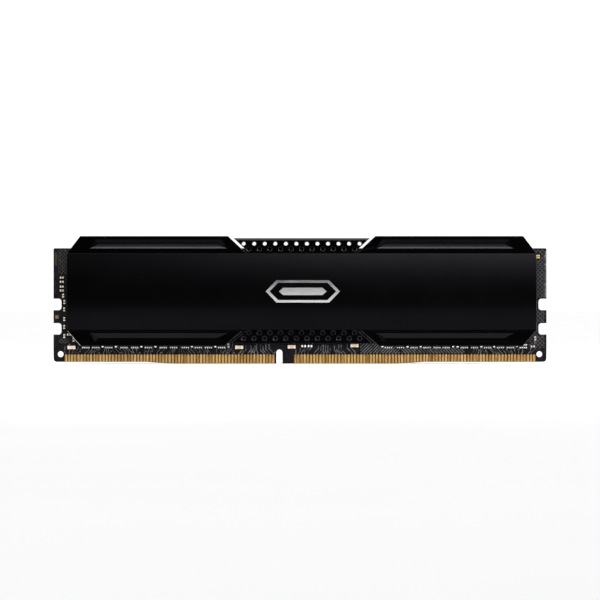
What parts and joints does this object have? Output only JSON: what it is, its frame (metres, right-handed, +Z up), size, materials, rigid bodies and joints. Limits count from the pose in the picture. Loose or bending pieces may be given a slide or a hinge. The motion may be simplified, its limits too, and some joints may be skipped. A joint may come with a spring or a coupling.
{
  "type": "memory module",
  "caption": "Desktop memory module: a circuit board with gold edge contacts and latch notches, clad in a dark heat spreader with bevelled wings and a vented middle.",
  "frame": {"origin": "middle of the board's length and thickness, at the lowest part of its contact edge", "axes": "+X along the board, towards the end with the long contact row on the front; -Y out of the front, which carries the parts; +Z up, away from the slot"},
  "size_m": [0.1334, 0.0082, 0.0345],
  "materials": {
    "circuit_board": "glass-fibre board with dark grey solder mask, faint copper pattern under it",
    "contact_gold": "gold-plated copper, polished",
    "chip_resin": "moulded black resin, matte",
    "thermal_pad": "soft grey silicone, matte",
    "spreader_metal": "dark grey anodised, satin",
    "network_body": "dark glaze with tinned ends",
    "capacitor_body": "tan ceramic with tinned ends",
    "resistor_body": "brown ceramic with tinned ends"
  },
  "bodies": {
    "root": {"circuit_board": "circuit_board", "front_contacts_short_row": "contact_gold", "front_contacts_long_row": "contact_gold", "rear_contacts_short_row": "contact_gold", "rear_contacts_long_row": "contact_gold", "memory_chip_1": "chip_resin", "memory_chip_2": "chip_resin", "memory_chip_3": "chip_resin", "memory_chip_4": "chip_resin", "memory_chip_5": "chip_resin", "memory_chip_6": "chip_resin", "memory_chip_7": "chip_resin", "memory_chip_8": "chip_resin", "settings_chip": "chip_resin", "front_thermal_pad": "thermal_pad", "rear_thermal_pad": "thermal_pad", "front_heat_spreader": "spreader_metal", "rear_heat_spreader": "spreader_metal", "resistor_network_1": "network_body", "resistor_network_2": "network_body", "resistor_network_3": "network_body", "resistor_network_4": "network_body", "resistor_network_5": "network_body", "resistor_network_6": "network_body", "resistor_network_7": "network_body", "resistor_network_8": "network_body", "resistor_network_9": "network_body", "resistor_network_10": "network_body", "resistor_network_11": "network_body", "resistor_network_12": "network_body", "resistor_network_13": "network_body", "resistor_network_14": "network_body", "resistor_network_15": "network_body", "resistor_network_16": "network_body", "resistor_network_17": "network_body", "resistor_network_18": "network_body", "resistor_network_19": "network_body", "resistor_network_20": "network_body", "resistor_network_21": "network_body", "resistor_network_22": "network_body", "resistor_network_23": "network_body", "resistor_network_24": "network_body", "capacitor_1": "capacitor_body", "capacitor_2": "capacitor_body", "capacitor_3": "capacitor_body", "capacitor_4": "capacitor_body", "resistor_across_1": "resistor_body", "resistor_across_2": "resistor_body", "resistor_across_3": "resistor_body", "resistor_across_4": "resistor_body", "resistor_across_5": "resistor_body", "resistor_upright_1": "resistor_body", "resistor_upright_2": "resistor_body", "resistor_upright_3": "resistor_body", "resistor_upright_4": "resistor_body", "resistor_upright_5": "resistor_body", "resistor_upright_6": "resistor_body", "resistor_upright_7": "resistor_body", "resistor_upright_8": "resistor_body", "resistor_upright_9": "resistor_body"}
  },
  "joints": []
}
